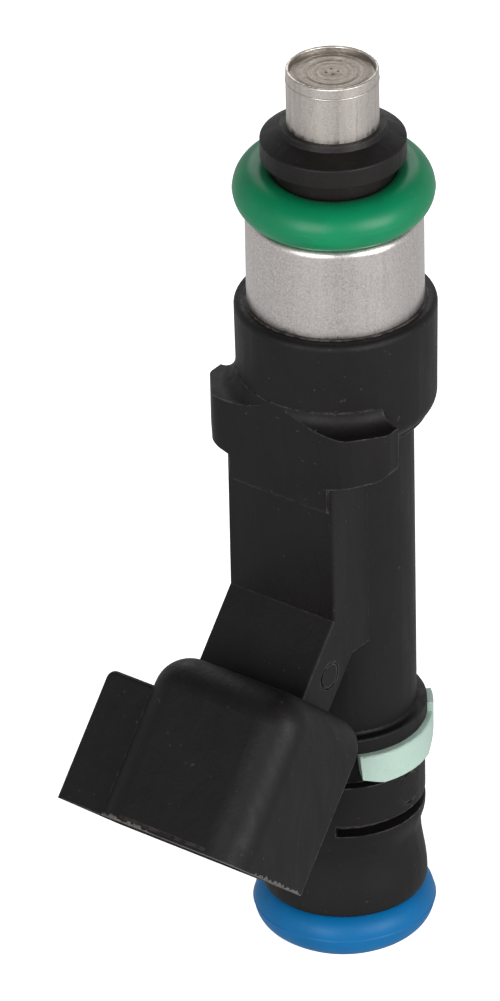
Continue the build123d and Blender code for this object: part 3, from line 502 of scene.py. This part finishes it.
def finished_mesh(name, made):
    """Turn the faces outwards and make the mesh."""
    bmesh.ops.recalc_face_normals(made, faces=made.faces)
    mesh = bpy.data.meshes.new(name)
    made.to_mesh(mesh)
    made.free()
    return mesh


def revolved(name, outline, turns, shift):
    """Closed mesh from an outline of (radius, height) points; shift moves each point a little."""
    made = bmesh.new()
    loops = []
    for step in range(turns):
        angle = 2 * math.pi * step / turns
        spoke = Vector((math.cos(angle), math.sin(angle), 0))
        loop = [r * spoke + Vector((0, 0, z)) for r, z in outline]
        loops.append([made.verts.new(point + shift(point, spoke)) for point in loop])
    for step in range(turns):
        join(made, loops[step], loops[(step + 1) % turns])
    return finished_mesh(name, made)


def make_seal(node, slot, material, gland_r, above, below, tilt, parting):
    """Moulded O-ring with a fine parting line; above and below say how full its halves are."""
    low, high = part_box(node)
    section = (high.z - low.z) / 2
    middle = Vector((high.x - section, (high.z + low.z) / 2))
    outline = []
    for step in range(SEAL_STEPS):
        angle = 2 * math.pi * step / SEAL_STEPS
        off = min(angle, 2 * math.pi - angle)
        reach = section - parting * (1 - math.exp(-((off / PARTING_ANGLE) ** 2)))
        rise = reach * math.sin(angle)
        radius = max(middle.x + reach * math.cos(angle), gland_r)
        height = middle.y + rise * (above if rise > 0 else below)
        if radius < RETAINER_FOOT_R:
            height = min(height, RETAINER_FOOT_Z)
        outline.append((radius, height))

    def unevenness(point, spoke):
        moved = spoke * SEAL_UNEVEN * (noise.noise(point / SEAL_WAVE) - 0.5)
        moved.z = -tilt * spoke.xy.dot(Vector(SEAL_LOW_SIDE))
        if point.xy.length < RETAINER_FOOT_R:
            moved.z = min(moved.z, RETAINER_FOOT_Z - point.z)
        return moved

    mesh = revolved(node, outline, SEAL_TURNS, unevenness)
    add_piece(node + "_moulded", mesh, material, node)


def mouth_path():
    """Points and outward normals round the mouth's outline, from the side box to the right foot."""
    left, right = MOUTH_CORNERS
    middle = MOUTH_TOP - MOUTH_CORNER_R
    start = math.pi - math.asin((MOUTH_SIDE_TOP - middle) / MOUTH_CORNER_R)
    path = []

    def corner(centre, first, last):
        steps = max(2, round(abs(last - first) * MOUTH_CORNER_R / FLASH_PITCH))
        for step in range(steps):
            angle = first + (last - first) * step / steps
            normal = Vector((math.cos(angle), math.sin(angle)))
            path.append((Vector((centre, middle)) + MOUTH_CORNER_R * normal, normal))

    def straight(first, last, normal):
        steps = round((Vector(last) - Vector(first)).length / FLASH_PITCH)
        for step in range(steps):
            path.append((Vector(first).lerp(Vector(last), step / steps), Vector(normal)))

    corner(left, start, math.pi / 2)
    straight((left, MOUTH_TOP), (right, MOUTH_TOP), (0, 1))
    corner(right, math.pi / 2, 0)
    straight((MOUTH_RIGHT, middle), (MOUTH_RIGHT, MOUTH_FOOT), (1, 0))
    return path


def make_mouth_flash():
    """Ragged flash and a fine line along the mouth of the socket."""
    origin, out, down = Vector(SOCKET_ORIGIN), Vector(SOCKET_OUT), Vector(SOCKET_DOWN)
    made = bmesh.new()
    loops = []
    for step, (point, normal) in enumerate(mouth_path()):
        along = step * FLASH_PITCH
        within = max(min((along - a) / FLASH_WAVE, (b - along) / FLASH_WAVE, 1.0) for a, b in FLASH_RAGGED)
        rough = max(FLASH_MEAN + FLASH_SWING * noise.noise(Vector((along / FLASH_WAVE, 0.3, 0))), FLASH_LEAST)
        ragged = rough * max(within, 0.0)
        back = FLASH_LINE + FLASH_BACK * ragged
        proud = FLASH_PROUD * (FLASH_LINE_PROUD + (1 - FLASH_LINE_PROUD) * ragged)
        section = ((-FLASH_SINK, -back), (proud, -0.6 * back), (0.5 * proud, 0.3 * proud), (-FLASH_SINK, 0.0))
        loop = []
        for lift, beyond in section:
            x, height = point + lift * normal
            place = origin + Vector((x, 0, 0)) + height * out + (MOUTH_OUT + beyond) * down
            loop.append(made.verts.new(place))
        loops.append(loop)
    for here, after in zip(loops, loops[1:]):
        join(made, here, after)
    made.faces.new(loops[0])
    made.faces.new(list(reversed(loops[-1])))
    return finished_mesh("mouth_flash", made)


def make_disc():
    """Orifice plate: shallow stamped rings, a slightly raised middle and its spray holes."""
    low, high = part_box("orifice_plate")
    rim, top = high.x, high.z
    outline = [(0.0, low.z), (rim, low.z)]
    outline += [(rim * (1 - step / DISC_STEPS), top) for step in range(DISC_STEPS)]

    def relief(point, spoke):
        if point.z < top - DISC_TOP_DEPTH:
            return Vector()
        radius = point.xy.length
        height = 0.0
        for ring_r, half_width, rise in DISC_RINGS:
            height += rise * math.exp(-(((radius - ring_r) / half_width) ** 2))
        for number in range(SPRAY_HOLES):
            turn = math.radians(SPRAY_FIRST_ANGLE + 360 / SPRAY_HOLES * number)
            hole = Vector((math.cos(turn), math.sin(turn))) * SPRAY_RING_R
            near = (point.xy - hole).length / SPRAY_HOLE_R
            height -= SPRAY_DEPTH * max(0.0, 1 - near ** SPRAY_EDGE)
        height += DISC_UNEVEN * noise.noise(point / DISC_WAVE)
        return Vector((0, 0, height - DISC_SINK))

    mesh = revolved("disc", outline, DISC_TURNS, relief)
    merged = bmesh.new()
    merged.from_mesh(mesh)
    bmesh.ops.remove_doubles(merged, verts=merged.verts, dist=MERGE_DISTANCE)
    merged.to_mesh(mesh)
    merged.free()
    return mesh


make_camera()
make_studio()
materials = make_materials()
paint(materials)
make_seal("nozzle_o_ring", "green_rubber", materials["green_rubber"], SLEEVE_R, **MANIFOLD_SEAL)
make_seal("inlet_o_ring", "blue_rubber", materials["blue_rubber"], INLET_NECK_R, **RAIL_SEAL)
# the flash is painted paler than the body, partly as a painted highlight along the mouth's edge
rubbed_and_highlit = moulded_plastic("flash_wear_and_highlight_plastic", **FLASH_WEAR_AND_HIGHLIGHT_PLASTIC)
add_piece("mouth_flash", make_mouth_flash(), rubbed_and_highlit)
add_piece("spray_disc", make_disc(), materials["disc_steel"], "orifice_plate")
